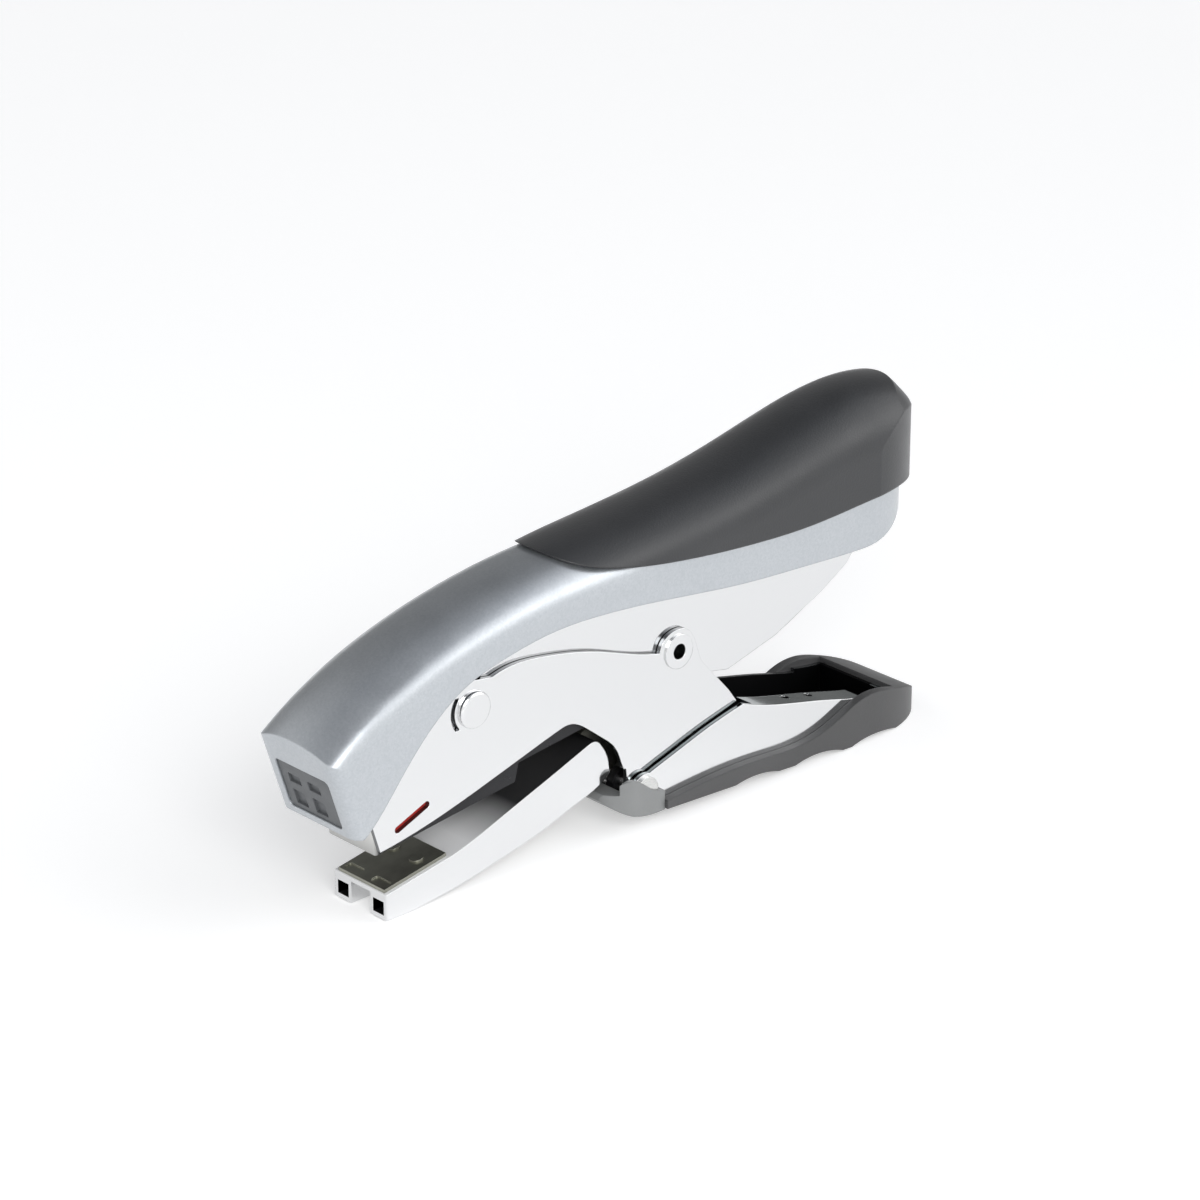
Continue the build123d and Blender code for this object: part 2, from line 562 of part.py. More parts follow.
with BuildPart() as arm_rivets:
    pins(ARM_RIVETS, ARM_RIVET_R, 3.0, -3.0)

# ------------------------------------------------------------------ lower handle
HANDLE_TAIL = 70.0
HUMP = [(-3.2, 11.4), (4.0, 13.7), (11.4, 16.0), (19.0, 18.0), (24.6, 19.2)]
HANDLE_RIM = [(24.6, 19.2), (32.0, 16.7), (41.0, 14.5), (48.0, 12.9), (56.5, 10.7), (HANDLE_TAIL, 8.4)]
FLANGE_FROM = 28.0
FLANGE_TO = 61.0
FLANGE_EDGE = 5.4
FLANGE_HOLES = [(41.0, 7.0), (48.0, 7.0), (41.0, -7.0), (48.0, -7.0)]
LEAF_RIVETS = [(32.0, 0), (41.0, 0)]
LEAF_SHEET = 0.8
HANDLE_LOBE_R = 3.9


def leaf_holes():
    with BuildSketch(FLOOR.offset(-2.0)) as rounds:
        with Locations(*LEAF_RIVETS):
            Circle(STUD_R + FIT)
    extrude(rounds.sketch, amount=6, dir=FLOOR.z_dir, mode=Mode.SUBTRACT)


# open channel of the lower handle, its rims turned in behind the hump
with BuildPart() as lower_channel:
    with BuildSketch(Plane.XZ):
        with BuildLine():
            prow = Polyline((-1.0, floor_under(-1.0)), (-6.8, 5.4), (-7.2, 9.6))
            hump = Spline(prow @ 1, *HUMP)
            rim = Spline(*HANDLE_RIM)
            corner = HANDLE_TAIL - 1.4
            Polyline(rim @ 1, (HANDLE_TAIL, 3.0), (corner, floor_under(corner)), prow @ 0)
        make_face()
    extrude(amount=HANDLE_OUT, both=True)
    rear = HANDLE_TAIL - SHEET
    prism([(-20, floor_top(-20)), (rear, floor_top(rear)), (rear, 30), (-20, 30)], HANDLE_IN, Mode.SUBTRACT)
    both_sides([HANDLE_PIVOT], HANDLE_LOBE_R, HANDLE_IN, HANDLE_OUT)
    prism([(-20, 0), (-0.4, 0), (-0.4, 30), (-20, 30)], HANDLE_IN, Mode.SUBTRACT)
    with BuildSketch(Plane.XZ) as shelf:
        with BuildLine():
            upper = Spline(*HANDLE_RIM)
            lower = Spline(*[(x, z - SHEET) for x, z in HANDLE_RIM])
            Line(upper @ 0, lower @ 0)
            Line(upper @ 1, lower @ 1)
        make_face()
        with Locations(((FLANGE_FROM + FLANGE_TO) / 2, 15)):
            Rectangle(FLANGE_TO - FLANGE_FROM, 30, mode=Mode.INTERSECT)
    for side in (-1, 1):
        middle = Location((0, side * (FLANGE_EDGE + HANDLE_IN) / 2, 0))
        extrude(shelf.sketch.moved(middle), amount=(HANDLE_IN - FLANGE_EDGE) / 2, both=True)
    with BuildSketch(Plane.XY.offset(30)):
        with Locations(*FLANGE_HOLES):
            Circle(1.0)
    extrude(amount=-22, mode=Mode.SUBTRACT)
    pins([HANDLE_PIVOT], HANDLE_PIN_R + FIT, REACH, -REACH, Mode.SUBTRACT)
    leaf_holes()

# leaf spring that pushes the lower handle away from the frame
with BuildPart() as handle_spring:
    with BuildSketch(Plane.XZ):
        with BuildLine():
            base = Line((46.0, floor_top(46.0)), (27.0, floor_top(27.0)))
            under = Spline(
                base @ 1, (21.0, 6.2), (16.6, 12.5), (11.8, 21.4), tangents=[base % 1, (-0.2, 1)]
            )
            tip = Line(under @ 1, (12.8, 21.7))
            over = Spline(
                tip @ 1, (17.5, 12.9), (21.7, 6.9), (27.0, floor_top(27.0) + LEAF_SHEET),
                tangents=[(0.2, -1), (1, -FLOOR_SLOPE)],
            )
            Polyline(over @ 1, (46.0, floor_top(46.0) + LEAF_SHEET), base @ 0)
        make_face()
    extrude(amount=2.8, both=True)
    leaf_holes()

with BuildPart() as spring_rivets:
    with BuildSketch(FLOOR):
        with Locations(*LEAF_RIVETS):
            Circle(STUD_R)
    extrude(amount=SHEET + LEAF_SHEET)
    with BuildSketch(FLOOR.offset(SHEET + LEAF_SHEET)):
        with Locations(*LEAF_RIVETS):
            Circle(2.4)
    extrude(amount=0.8)
    heads = spring_rivets.faces().filter_by(GeomType.PLANE).sort_by(Axis.Z)[-2:]
    fillet(heads.edges(), 0.5)

# two ears welded to the handle's floor; they hold the cam roller between the side plates
EAR_OUTLINE = [(-4.6, 5.2), (-1.0, floor_top(-1.0)), (24.0, floor_top(24.0)), (24.0, 5.3), (9.5, 6.8)]
EAR_OUTLINE += [(3.0, 12.9), (-2.3, 14.2), (-7.3, 9.2)]
with BuildPart() as lever_bracket:
    prism(EAR_OUTLINE, EAR_OUT)
    pins([HANDLE_PIVOT], HANDLE_LOBE_R, EAR_OUT, -EAR_OUT)
    pins([ROLLER], 2.8, EAR_OUT, -EAR_OUT)
    prism([(-20, -5), (30, -5), (30, 30), (-20, 30)], EAR_IN, Mode.SUBTRACT)
    pins([HANDLE_PIVOT], HANDLE_PIN_R + FIT, REACH, -REACH, Mode.SUBTRACT)
    pins([ROLLER], ROLLER_PIN_R + FIT, REACH, -REACH, Mode.SUBTRACT)

with BuildPart() as cam_roller:
    pins([ROLLER], 2.0, EAR_IN - 0.2, 0.2 - EAR_IN)
    pins([ROLLER], ROLLER_PIN_R + RUN, REACH, -REACH, Mode.SUBTRACT)

with BuildPart() as roller_pin:
    pins([ROLLER], ROLLER_PIN_R, EAR_OUT, -EAR_OUT)

with BuildPart() as handle_pin:
    pins([HANDLE_PIVOT], HANDLE_PIN_R, HANDLE_OUT, -HANDLE_OUT)
    both_sides([HANDLE_PIVOT], HANDLE_HEAD_R, HANDLE_OUT, HANDLE_OUT + 0.5)

# moulded nose of the lower handle that hides its pin
KNUCKLE_END = 1.0
KNUCKLE_FLOOR = 3.95
with BuildPart() as hinge_knuckle:
    with BuildSketch(Plane.XZ):
        with BuildLine():
            sole = Spline((-13.4, 7.6), (-9.4, 4.6), (-4.2, 3.0), (KNUCKLE_END, 2.8))
            brow = Spline((KNUCKLE_END, 7.2), (-3.5, 9.2), (-8.4, 12.0), (-12.0, 10.6), (-13.4, 7.6))
            Line(sole @ 1, brow @ 0)
        make_face()
    extrude(amount=12.2, both=True)
    with BuildSketch(Plane.XY.offset(-1)):
        with Locations((KNUCKLE_END - 0.1, 0)):
            RectangleRounded(29.0, 24.4, 6.5)
    extrude(amount=30, mode=Mode.INTERSECT)
    pocket = [(-9.2, KNUCKLE_FLOOR), (20, KNUCKLE_FLOOR), (20, 30), (-9.2, 30)]
    prism(pocket, HANDLE_OUT + FIT, Mode.SUBTRACT)
    prism([(-20, 9.2), (-9.2, 9.2), (-9.2, 30), (-20, 30)], HANDLE_OUT + FIT, Mode.SUBTRACT)
    both_sides([HANDLE_PIVOT], HANDLE_HEAD_R + FIT, 10.0, HANDLE_OUT + 0.5 + FIT, Mode.SUBTRACT)

# rubber tray round the lower handle with finger grooves underneath
GRIP_TOP = [(KNUCKLE_END, 5.0), (10.2, 5.7), (20.0, 6.1), (30.0, 5.8), (39.5, 5.4), (47.0, 6.4)]
GRIP_TOP += [(53.0, 8.5), (58.0, 10.4), (63.5, 10.9), (70.0, 9.6), (77.0, 7.2), (81.2, 4.7)]
GRIP_TOP += [(83.2, 2.2), (82.6, 0.0)]
GRIP_SOLE = [(66.0, 0.0), (58.0, 0.1), (44.5, 0.8), (26.0, 1.9), (KNUCKLE_END, 3.1)]
GROOVES = [(26.0, 1.9, 0.8), (44.5, 0.8, 1.1), (62.8, 0.0, 1.2)]  # x, sole height, depth
GROOVE_R = 24.0
with BuildPart() as lower_grip:
    with BuildSketch(Plane.XZ):
        with BuildLine():
            brim = Spline(*GRIP_TOP)
            heel = Line(brim @ 1, GRIP_SOLE[0])
            sole = Spline(*GRIP_SOLE, tangents=[(-1, 0), (-1, 0.05)])
            Line(sole @ 1, brim @ 0)
        make_face()
    extrude(amount=LOW_GRIP_HALF, both=True)
    tail_plan(LOW_GRIP_HALF, 63.0, 84.0)
    tray = [(-5, floor_under(-5)), (HANDLE_TAIL, floor_under(HANDLE_TAIL)), (HANDLE_TAIL, 30), (-5, 30)]
    prism(tray, HANDLE_OUT + FIT, Mode.SUBTRACT)
    pins([(x, z + depth - GROOVE_R) for x, z, depth in GROOVES], GROOVE_R, REACH, -REACH, Mode.SUBTRACT)

# ------------------------------------------------------------------ write every node
NODES = {
    "top_cover": top_cover.part,
    "top_grip": top_grip.part,
    "handle_channel": handle_channel.part,
    "cover_pins": cover_pins.part,
    "nose_plate": nose_plate.part,
    "driver_tongue": driver_tongue,
    "driver_blade": driver_blade.part,
    "cheek_near": cheek_near,
    "cheek_far": cheek_far,
    "level_flag": level_flag.part,
    "magazine": magazine.part,
    "magazine_studs": magazine_studs.part,
    "staple_rail": staple_rail.part,
    "staple_strip": staple_strip.part,
    "pusher": pusher.part,
    "pusher_spring": pusher_spring,
    "guide_rod": guide_rod.part,
    "spring_seat": spring_seat.part,
    "drive_spring": drive_spring,
    "front_rivet": front_rivet.part,
    "rear_rivet": rear_rivet.part,
    "jaw_pin": jaw_pin.part,
    "spring_pin": spring_pin.part,
    "lower_jaw": lower_jaw.part,
    "anvil_plate": anvil_plate.part,
    "anvil_rivets": anvil_rivets.part,
    "jaw_arm": jaw_arm.part,
    "arm_rivets": arm_rivets.part,
    "lower_channel": lower_channel.part,
    "lower_grip": lower_grip.part,
    "hinge_knuckle": hinge_knuckle.part,
    "lever_bracket": lever_bracket.part,
    "cam_roller": cam_roller.part,
    "roller_pin": roller_pin.part,
    "handle_pin": handle_pin.part,
    "handle_spring": handle_spring.part,
    "spring_rivets": spring_rivets.part,
}
for node_name, node in NODES.items():
    node = Location((ORIGIN_SHIFT, 0, 0)) * node
    node.label = node_name
    export_step(node, f"parts/{node_name}.step")
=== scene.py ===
import json
import math

import bpy
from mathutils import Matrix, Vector


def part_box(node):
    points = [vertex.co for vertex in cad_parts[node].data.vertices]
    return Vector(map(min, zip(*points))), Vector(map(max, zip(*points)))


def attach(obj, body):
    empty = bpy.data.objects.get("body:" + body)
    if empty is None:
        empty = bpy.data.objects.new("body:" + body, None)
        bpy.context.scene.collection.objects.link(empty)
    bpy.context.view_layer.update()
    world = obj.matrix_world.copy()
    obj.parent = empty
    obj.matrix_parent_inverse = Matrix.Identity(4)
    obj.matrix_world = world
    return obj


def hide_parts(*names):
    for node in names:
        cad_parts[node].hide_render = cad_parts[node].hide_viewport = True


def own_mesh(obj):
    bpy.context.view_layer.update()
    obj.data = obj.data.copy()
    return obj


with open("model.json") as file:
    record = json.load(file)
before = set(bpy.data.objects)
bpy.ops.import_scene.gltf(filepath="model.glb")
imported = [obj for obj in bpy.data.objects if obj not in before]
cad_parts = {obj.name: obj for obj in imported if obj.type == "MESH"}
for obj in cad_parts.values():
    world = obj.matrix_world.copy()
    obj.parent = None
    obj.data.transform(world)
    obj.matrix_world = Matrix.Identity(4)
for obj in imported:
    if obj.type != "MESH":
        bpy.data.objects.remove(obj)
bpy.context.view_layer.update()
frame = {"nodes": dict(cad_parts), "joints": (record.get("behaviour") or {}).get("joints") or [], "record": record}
NODES = frame["nodes"]
SLOT = {part["node"]: part["material_slot"] for part in frame["record"]["subparts"]}
JOINT_AXIS = {joint["name"]: Vector(joint["axis"]) for joint in frame["joints"]}
MM = 0.001

# places on the part, in metres
JAW_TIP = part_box("lower_jaw")[0][0]
MAGAZINE_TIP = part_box("magazine")[0][0]
CHEEK_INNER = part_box("cheek_far")[0][1]
CHANNEL_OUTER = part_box("handle_channel")[1][1]
HANDLE_FLANGE = (-10.6 * MM, -5.3 * MM)  # across the near rim of the lower handle
HANDLE_HOLLOW = (-5.2 * MM, 10.15 * MM)  # across the inside of the lower handle
JAW_TUBE = (3.75 * MM, 7.15 * MM)  # across either tube of the jaw
JAW_TUBE_TOP = 4.9 * MM
JAW_CLIMB = 0.176  # slope of the jaw's tip

# painted shade: the black that stands in for shadow inside hollows and under parts
PAINTED_SHADE_BLACK = (0.012, 0.012, 0.013)
WIRE_SIDES = 12
STEPS_PER_TURN = 28  # along the wire of a coil spring
CLOSED_PITCH = 1.05  # from wire to wire in a closed coil, in wire widths


# ---------------------------------------------------------------- node materials
class Finish:
    """A principled material; its pattern lives in the object's own coordinates, in metres."""

    def __init__(self, name, colour, metallic=0.0):
        self.material = bpy.data.materials.new(name)
        self.material.use_nodes = True
        self.nodes = self.material.node_tree.nodes
        self.links = self.material.node_tree.links
        self.bsdf = self.nodes["Principled BSDF"]
        self.place = self.nodes.new("ShaderNodeTexCoord")
        self.colour = self.value_colour(colour)
        self.set(Metallic=metallic)
        self.normal = None

    def value_colour(self, colour):
        node = self.nodes.new("ShaderNodeRGB")
        node.outputs[0].default_value = (*colour, 1)
        return node.outputs[0]

    def stretched(self, scale):
        """Object coordinates multiplied per axis, which draws a pattern out along the small ones."""
        node = self.nodes.new("ShaderNodeMapping")
        node.inputs["Scale"].default_value = scale
        self.links.new(self.place.outputs["Object"], node.inputs[0])
        return node.outputs[0]

    def noise(self, scale, detail=3.0, stretch=(1, 1, 1)):
        node = self.nodes.new("ShaderNodeTexNoise")
        node.inputs["Scale"].default_value = scale
        node.inputs["Detail"].default_value = detail
        self.links.new(self.stretched(stretch), node.inputs["Vector"])
        return node.outputs[0]

    def cells(self, scale, output="Distance"):
        node = self.nodes.new("ShaderNodeTexVoronoi")
        node.inputs["Scale"].default_value = scale
        self.links.new(self.stretched((1, 1, 1)), node.inputs["Vector"])
        return node.outputs[output]

    def remap(self, source, low, high, start=0.0, end=1.0):
        """Carries the range low..high over to start..end, clamped."""
        node = self.nodes.new("ShaderNodeMapRange")
        self.links.new(source, node.inputs[0])
        for index, value in enumerate((low, high, start, end), start=1):
            node.inputs[index].default_value = value
        return node.outputs[0]

    def maths(self, operation, first, second=0.0):
        """A maths node; each operand is a number or the output of another node."""
        node = self.nodes.new("ShaderNodeMath")
        node.operation = operation
        for socket, value in zip(node.inputs, (first, second)):
            if isinstance(value, (int, float)):
                socket.default_value = value
            else:
                self.links.new(value, socket)
        return node.outputs[0]

    def axis(self, letter, source="Object"):
        """One component of the position, or of the normal."""
        node = self.nodes.new("ShaderNodeSeparateXYZ")
        self.links.new(self.place.outputs[source], node.inputs[0])
        return node.outputs[letter]

    def between(self, value, limits):
        """1 where the value lies between the two limits."""
        above = self.maths("GREATER_THAN", value, limits[0])
        return self.maths("MULTIPLY", above, self.maths("LESS_THAN", value, limits[1]))

    def facing_up(self):
        """1 on faces that look upwards."""
        return self.remap(self.axis("Z", "Normal"), 0.5, 0.8)

    def tint(self, mask, colour):
        """Blends the colour so far towards another one where the mask is 1."""
        node = self.nodes.new("ShaderNodeMix")
        node.data_type = "RGBA"
        self.links.new(mask, node.inputs[0])
        self.links.new(self.colour, node.inputs[6])
        self.links.new(self.value_colour(colour), node.inputs[7])
        self.colour = node.outputs[2]

    def drive(self, name, source):
        self.links.new(source, self.bsdf.inputs[name])

    def set(self, **values):
        for name, value in values.items():
            self.bsdf.inputs[name.replace("_", " ")].default_value = value

    def rough(self, low, high, scale):
        """A roughness that wanders between two values over the surface."""
        self.drive("Roughness", self.remap(self.noise(scale), 0.3, 0.7, low, high))

    def soften(self, radius):
        """Catches light along sharp edges as a small rounding would."""
        node = self.nodes.new("ShaderNodeBevel")
        node.samples = 4
        node.inputs["Radius"].default_value = radius
        self.normal = node.outputs[0]

    def bump(self, height, depth, strength):
        """Fine relief on top of the softened edges."""
        node = self.nodes.new("ShaderNodeBump")
        node.inputs["Strength"].default_value = strength
        node.inputs["Distance"].default_value = depth
        self.links.new(height, node.inputs["Height"])
        if self.normal is not None:
            self.links.new(self.normal, node.inputs["Normal"])
        self.normal = node.outputs[0]

    def done(self):
        self.links.new(self.colour, self.bsdf.inputs["Base Color"])
        if self.normal is not None:
            self.links.new(self.normal, self.bsdf.inputs["Normal"])
        return self.material


def silver_paint():
    """Metallic lacquer with fine flake under a thin clear coat."""
    lacquer = Finish("silver_paint", (0.43, 0.455, 0.48), 0.82)
    flake = lacquer.remap(lacquer.cells(2600, "Color"), 0.0, 1.0)
    lacquer.tint(lacquer.maths("MULTIPLY", flake, 0.22), (0.72, 0.74, 0.76))
    lacquer.tint(lacquer.remap(lacquer.noise(60), 0.35, 0.75, 0.0, 0.12), (0.36, 0.38, 0.41))
    lacquer.rough(0.30, 0.38, 140)
    lacquer.set(Coat_Weight=0.25, Coat_Roughness=0.18)
    lacquer.soften(0.45 * MM)
    lacquer.bump(lacquer.noise(900), 0.012 * MM, 0.5)
    return lacquer.done()


def moulded_rubber(name, colour, roughness, grain):
    """Soft-touch rubber: fine grain, worn lighter in patches."""
    rubber = Finish(name, colour)
    worn = rubber.remap(rubber.noise(45, 5.0), 0.45, 0.75, 0.0, 0.35)
    rubber.tint(worn, tuple(1.7 * c for c in colour))
    rubber.rough(roughness - 0.05, roughness + 0.06, 90)
    rubber.set(Sheen_Weight=0.08, Sheen_Roughness=0.5)
    rubber.soften(0.6 * MM)
    rubber.bump(rubber.cells(grain), 0.035 * MM, 0.55)
    return rubber.done()


def painted_edge_shade(chrome):
    """Painted shade along the cut edges of the sheet: every face that doesn't look sideways turns darker."""
    sideways = chrome.maths("ABSOLUTE", chrome.axis("Y", "Normal"))
    # painted shade: a dark steel grey on the edge faces
    chrome.tint(chrome.remap(sideways, 0.35, 0.75, 1.0, 0.0), (0.16, 0.165, 0.17))


def painted_inner_shade(chrome, mask):
    """Painted shade: the masked faces turn black; returns the roughness that they gain."""
    # painted shade: black where the inside of a part lies in shade
    chrome.tint(mask, PAINTED_SHADE_BLACK)
    return chrome.remap(mask, 0.0, 1.0, 0.0, 0.38)


def side_plate_marks(chrome):
    """Painted shade: darker edges, and black on the inside."""
    painted_edge_shade(chrome)
    across = chrome.maths("ABSOLUTE", chrome.axis("Y"))
    # painted shade on the inner faces of the cheeks
    return painted_inner_shade(chrome, chrome.maths("LESS_THAN", across, CHEEK_INNER + 0.1 * MM))


def channel_marks(chrome):
    """Painted shade: black on the inside."""
    across = chrome.maths("ABSOLUTE", chrome.axis("Y"))
    # painted shade on the inner faces of the channel
    return painted_inner_shade(chrome, chrome.maths("LESS_THAN", across, CHANNEL_OUTER - 0.3 * MM))


def lower_handle_marks(chrome):
    """Painted shade: darker edges and black in the hollow; and a teal-grey top to the near rim."""
    painted_edge_shade(chrome)
    across = chrome.axis("Y")
    # painted shade in the hollow of the handle
    rough = painted_inner_shade(chrome, chrome.between(across, HANDLE_HOLLOW))
    flange = chrome.maths("MULTIPLY", chrome.facing_up(), chrome.between(across, HANDLE_FLANGE))
    chrome.tint(flange, (0.24, 0.27, 0.27))
    return rough


def jaw_marks(chrome):
    """The jaw's top is dull, and painted shadow turns it black towards the hinge; its two tubes are painted black
    inside as shade.
    """
    upward = chrome.facing_up()
    chrome.drive("Metallic", chrome.remap(upward, 0.0, 1.0, 1.0, 0.15))
    # painted shadow on the jaw's top, towards the hinge under the magazine
    shadow = chrome.remap(chrome.axis("X"), JAW_TIP + 22 * MM, JAW_TIP + 35 * MM)
    chrome.tint(chrome.maths("MULTIPLY", upward, shadow), PAINTED_SHADE_BLACK)
    rise = chrome.maths("MULTIPLY", chrome.maths("SUBTRACT", chrome.axis("X"), JAW_TIP), JAW_CLIMB)
    low = chrome.maths("LESS_THAN", chrome.maths("SUBTRACT", chrome.axis("Z"), rise), JAW_TUBE_TOP)
    within = chrome.between(chrome.maths("ABSOLUTE", chrome.axis("Y")), JAW_TUBE)
    not_front = chrome.maths("GREATER_THAN", chrome.axis("X", "Normal"), -0.5)
    tube = chrome.maths("MULTIPLY", chrome.maths("MULTIPLY", low, within), not_front)
    # painted shade: black inside the two tubes
    chrome.tint(tube, (0.006, 0.006, 0.006))
    return chrome.remap(upward, 0.0, 1.0, 0.0, 0.35)


def plated(name, marks=None):
    """Chrome plate with a faint haze and drawn-out scratches.

    The marks are a function that adds the painted shade and other colouring of a piece, and returns the roughness
    it gains."""
    chrome = Finish(name, (0.72, 0.725, 0.73), 1.0)
    rough = marks(chrome) if marks else 0.0
    haze = chrome.remap(chrome.noise(70, 4.0), 0.3, 0.7, 0.07, 0.15)
    chrome.drive("Roughness", chrome.maths("ADD", haze, rough))
    chrome.soften(0.25 * MM)
    chrome.bump(chrome.noise(320, 4.0, (0.15, 1, 1)), 0.004 * MM, 0.5)
    return chrome.done()


def machined(name, colour, roughness, stretch=(0.1, 1, 1)):
    """Bare metal with the fine lines of its finishing."""
    metal = Finish(name, colour, 1.0)
    lines = metal.noise(1500, 3.0, stretch)
    metal.drive("Roughness", metal.remap(lines, 0.3, 0.7, roughness - 0.07, roughness + 0.10))
    metal.tint(metal.remap(metal.noise(260), 0.45, 0.8, 0.0, 0.5), tuple(0.6 * c for c in colour))
    metal.soften(0.15 * MM)
    metal.bump(lines, 0.008 * MM, 0.5)
    return metal.done()


def black_oxide():
    """Blackened steel, turning to bright metal towards the nose of the magazine."""
    steel = Finish("black_oxide", (0.016, 0.016, 0.018))
    bright = steel.remap(steel.axis("X"), MAGAZINE_TIP + 2.5 * MM, MAGAZINE_TIP + 0.9 * MM)
    steel.tint(bright, (0.80, 0.80, 0.78))
    steel.drive("Metallic", steel.remap(bright, 0.0, 1.0, 0.55, 1.0))
    steel.rough(0.26, 0.40, 150)
    steel.soften(0.15 * MM)
    steel.bump(steel.noise(1400), 0.01 * MM, 0.4)
    return steel.done()


def moulded_plastic(name, colour, roughness, grain):
    """Plastic with the fine texture of its mould."""
    plastic = Finish(name, colour)
    plastic.tint(plastic.remap(plastic.noise(120), 0.4, 0.8, 0.0, 0.3), tuple(1.35 * c for c in colour))
    plastic.rough(roughness - 0.06, roughness + 0.06, 200)
    plastic.soften(0.25 * MM)
    plastic.bump(plastic.cells(grain), 0.03 * MM, 0.6)
    return plastic.done()


# one material for each slot of the record
FINISH = {
    "silver_paint": silver_paint(),
    "grip_rubber": moulded_rubber("grip_rubber", (0.018, 0.019, 0.021), 0.38, 2400),
    "lower_rubber": moulded_rubber("lower_rubber", (0.038, 0.038, 0.039), 0.50, 2400),
    "chrome_plate": plated("chrome_plate"),
    "black_steel": black_oxide(),
    "bright_steel": machined("bright_steel", (0.62, 0.62, 0.61), 0.24),
    "tool_steel": machined("tool_steel", (0.32, 0.32, 0.275), 0.38),
    "spring_steel": machined("spring_steel", (0.45, 0.46, 0.48), 0.28, (1, 1, 1)),
    "nose_plastic": moulded_plastic("nose_plastic", (0.085, 0.090, 0.095), 0.50, 1500),
    "grey_plastic": moulded_plastic("grey_plastic", (0.17, 0.175, 0.175), 0.42, 1900),
    "red_plastic": moulded_plastic("red_plastic", (0.33, 0.022, 0.018), 0.32, 900),
}
side_plate = plated("side_plate", side_plate_marks)
# pieces that look different from the rest of their slot
SPECIAL = {
    "cheek_near": side_plate,
    "cheek_far": side_plate,
    "handle_channel": plated("channel_plate", channel_marks),
    "lower_channel": plated("handle_plate", lower_handle_marks),
    "lower_jaw": plated("jaw_plate", jaw_marks),
    "anvil_rivets": FINISH["tool_steel"],
    "lever_bracket": FINISH["black_steel"],
}


def paint(obj, material):
    obj.data.materials.clear()
    obj.data.materials.append(material)


for node_name, node in NODES.items():
    paint(node, SPECIAL.get(node_name, FINISH[SLOT[node_name]]))


# ---------------------------------------------------------------- springs
def tube(name, centres, radius):
    """A round wire swept through the centres, closed at both ends."""
    sides = WIRE_SIDES
    off_line = Vector((0.31, 0.17, 0.93))  # no wire here runs along this direction
    verts = []
    for i, centre in enumerate(centres):
        ahead = centres[min(i + 1, len(centres) - 1)] - centres[max(i - 1, 0)]
        across = ahead.cross(off_line).normalized()
        up = ahead.cross(across).normalized()
        for k in range(sides):
            turn = 2 * math.pi * k / sides
            verts.append(centre + radius * (math.cos(turn) * across + math.sin(turn) * up))
    faces = []
    for ring in range(0, len(verts) - sides, sides):
        for k in range(sides):
            a = ring + k
            b = ring + (k + 1) % sides
            faces.append((a, b, b + sides, a + sides))
    faces.append(tuple(range(sides - 1, -1, -1)))
    faces.append(tuple(range(len(verts) - sides, len(verts))))
    mesh = bpy.data.meshes.new(name)
    mesh.from_pydata([tuple(v) for v in verts], [], faces)
    mesh.polygons.foreach_set("use_smooth", [True] * (len(faces) - 2) + [False] * 2)
    mesh.update()
    obj = bpy.data.objects.new(name, mesh)
    bpy.context.scene.collection.objects.link(obj)
    return obj


def stand_in(obj, node, body):
    """The object takes the place of a CAD spring, and rides the same body."""
    paint(obj, FINISH["spring_steel"])
    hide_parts(node)
    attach(obj, body)


def coil_spring(name, node, axis, length, radius, wire, turns):
    """Compression spring with a closed coil at each end, centred on its CAD node.

    Returns it with the two ends of its axis."""
    low, high = (Vector(corner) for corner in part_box(node))
    axis = Vector(axis).normalized()
    side = Vector((0, 1, 0))
    third = axis.cross(side)
    foot = (low + high) / 2 - axis * length / 2
    travel = length - wire
    closed = 1.0 / turns
    rise = wire * CLOSED_PITCH / travel
    steps = turns * STEPS_PER_TURN
    centres = []
    for i in range(steps + 1):
        t = i / steps
        if t < closed:
            along = rise * t / closed
        elif t > 1 - closed:
            along = 1 - rise * (1 - t) / closed
        else:
            along = rise + (1 - 2 * rise) * (t - closed) / (1 - 2 * closed)
        turn = 2 * math.pi * turns * t
        out = radius * (math.cos(turn) * side + math.sin(turn) * third)
        centres.append(foot + axis * (wire / 2 + travel * along) + out)
    spring = tube(name, centres, wire / 2)
    stand_in(spring, node, "frame")
    return spring, foot, foot + axis * length


def feed_spring():
    """Pushes the pusher forwards."""
    axis = JOINT_AXIS["pusher_pull"]
    spring, _, rear = coil_spring(
        "feed_spring", "pusher_spring", axis, length=18.4 * MM, radius=1.4 * MM, wire=0.4 * MM, turns=13
    )
    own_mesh(spring)


def lift_spring():
    """Lifts the upper handle."""
    axis = Vector((0, 0, 1))
    spring, seat, _ = coil_spring(
        "lift_spring", "drive_spring", axis, length=23.7 * MM, radius=3.2 * MM, wire=0.9 * MM, turns=9
    )
    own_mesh(spring)


def return_leaf():
    """The bent leaf in the lower handle."""
    node = NODES["handle_spring"]
    leaf = node.copy()
    leaf.data = node.data.copy()
    leaf.name = "return_leaf"
    leaf.parent = None
    bpy.context.scene.collection.objects.link(leaf)
    stand_in(leaf, "handle_spring", "lower_handle")
    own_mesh(leaf)


feed_spring()
lift_spring()
return_leaf()


# ---------------------------------------------------------------- studio
def white_floor():
    bpy.ops.mesh.primitive_plane_add(size=8, location=(0, 0, -0.2 * MM))
    floor = bpy.context.object
    floor.name = "floor"
    ground = Finish("floor_white", (0.80, 0.80, 0.80))
    ground.set(Roughness=0.7, Emission_Color=(1, 1, 1, 1), Emission_Strength=0.36)
    ground.tint(ground.remap(ground.noise(9), 0.4, 0.8, 0.0, 0.15), (0.78, 0.78, 0.78))
    paint(floor, ground.done())


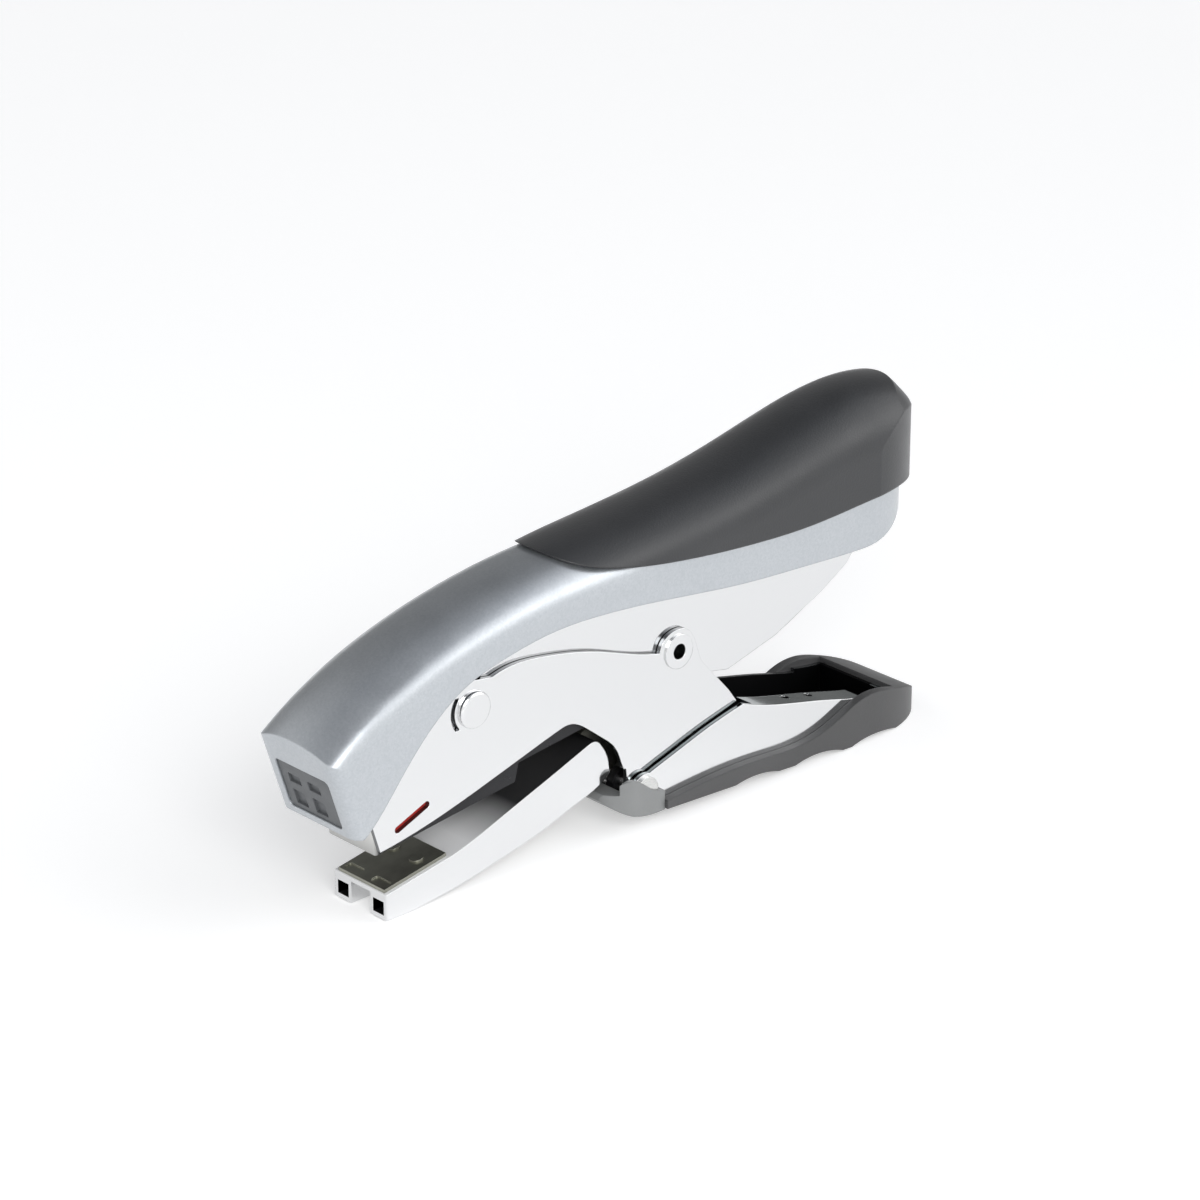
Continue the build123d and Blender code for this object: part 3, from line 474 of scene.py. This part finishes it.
class Sky:
    """A soft sky by height, which round patches make brighter or darker."""

    def __init__(self, stops):
        world = bpy.data.worlds.new("studio")
        bpy.context.scene.world = world
        world.use_nodes = True
        self.nodes = world.node_tree.nodes
        self.links = world.node_tree.links
        self.direction = self.nodes.new("ShaderNodeTexCoord").outputs["Generated"]
        split = self.nodes.new("ShaderNodeSeparateXYZ")
        ramp = self.nodes.new("ShaderNodeValToRGB")
        self.links.new(self.direction, split.inputs[0])
        self.links.new(split.outputs["Z"], ramp.inputs[0])
        elements = ramp.color_ramp.elements
        elements.remove(elements[1])
        elements[0].position, elements[0].color = stops[0]
        for position, colour in stops[1:]:
            elements.new(position).color = colour
        self.links.new(ramp.outputs[0], self.nodes["Background"].inputs[0])

    def patch(self, direction, edge, levels):
        """The first level outside a round patch, the second one in its middle; edge is in cosines."""
        dot = self.nodes.new("ShaderNodeVectorMath")
        dot.operation = "DOT_PRODUCT"
        self.links.new(self.direction, dot.inputs[0])
        dot.inputs[1].default_value = Vector(direction).normalized()
        level = self.nodes.new("ShaderNodeMapRange")
        level.interpolation_type = "SMOOTHSTEP"
        self.links.new(dot.outputs["Value"], level.inputs[0])
        for index, value in enumerate((*edge, *levels), start=1):
            level.inputs[index].default_value = value
        return level.outputs[0]

    def strength(self, first, second):
        product = self.nodes.new("ShaderNodeMath")
        product.operation = "MULTIPLY"
        self.links.new(first, product.inputs[0])
        self.links.new(second, product.inputs[1])
        self.links.new(product.outputs[0], self.nodes["Background"].inputs[1])


def soft_sky():
    """White to the horizon and dim overhead; darker behind the stapler, with one soft window in front."""
    sky = Sky([(0.0, (1, 1, 1, 1)), (0.40, (1, 1, 1, 1)), (0.9, (0.20, 0.21, 0.23, 1))])
    behind = sky.patch(direction=(0.62, 0.72, 0.32), edge=(0.45, 0.85), levels=(1.08, 0.24))
    window = sky.patch(direction=(0.60, -0.50, 0.62), edge=(0.78, 0.97), levels=(1.08, 3.0))
    sky.strength(behind, window)


def lamp(name, place, target, size, watts):
    data = bpy.data.lights.new(name, "AREA")
    data.energy = watts
    data.size = size
    obj = bpy.data.objects.new(name, data)
    bpy.context.scene.collection.objects.link(obj)
    obj.location = place
    obj.rotation_euler = (Vector(target) - Vector(place)).to_track_quat("-Z", "Y").to_euler()


def camera(azimuth, elevation, distance, target, lens):
    """Looks at the target; the azimuth counts from the near side towards the tail."""
    a = math.radians(azimuth)
    e = math.radians(elevation)
    back = Vector((math.sin(a) * math.cos(e), -math.cos(a) * math.cos(e), math.sin(e)))
    data = bpy.data.cameras.new("camera")
    obj = bpy.data.objects.new("camera", data)
    bpy.context.scene.collection.objects.link(obj)
    data.lens = lens
    data.sensor_width = 36
    obj.location = Vector(target) + back * distance
    obj.rotation_mode = "QUATERNION"
    obj.rotation_quaternion = (-back).to_track_quat("-Z", "Y")
    bpy.context.scene.camera = obj


white_floor()
soft_sky()
lamp("key", place=(-0.45, -0.75, 0.55), target=(0, 0, 0.04), size=0.5, watts=5)
camera(azimuth=-42.7, elevation=22.8, distance=0.9, target=(-0.00299, 0.00104, 0.0476), lens=131.76)
bpy.context.scene.view_settings.view_transform = "Standard"
